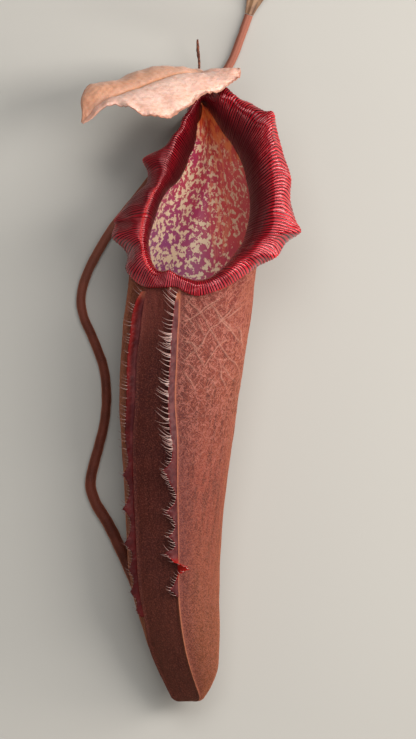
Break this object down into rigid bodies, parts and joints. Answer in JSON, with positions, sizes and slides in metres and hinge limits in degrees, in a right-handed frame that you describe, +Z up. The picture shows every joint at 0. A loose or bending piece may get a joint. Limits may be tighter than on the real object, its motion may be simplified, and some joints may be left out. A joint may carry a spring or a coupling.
{
  "type": "tropical pitcher plant's picked pitcher",
  "caption": "Hanging pitcher trap of a tropical pitcher plant, picked with its tendril and lying on its back, with a ribbed red lip, raised lid and fringed wings.",
  "frame": {"origin": "middle of the flat spot on the cup's back, on the surface the pitcher lies on", "axes": "+Y from the cup's closed end to its mouth, +X to the right of the mouth seen from above, +Z up from the surface"},
  "size_m": [0.1352, 0.4382, 0.0904],
  "materials": {
    "skin": "brownish red plant skin, velvety outside; mottled cream and purple, waxy inside",
    "lip": "deep red, finely ribbed and glossy",
    "lid": "pale pink leaf tissue with faint veins and an orange midrib",
    "spur": "brown stalk, fuzzy",
    "wings": "dark red leaf tissue with a pale fringe",
    "stem": "reddish brown stalk, dull",
    "leaf": "dull olive leaf tissue, cut at the end"
  },
  "bodies": {
    "root": {"cup": "skin", "lip": "lip", "lid": "lid", "spur": "spur", "wing_left": "wings", "wing_right": "wings", "tendril": "stem", "leaf_tip": "leaf"}
  },
  "joints": []
}
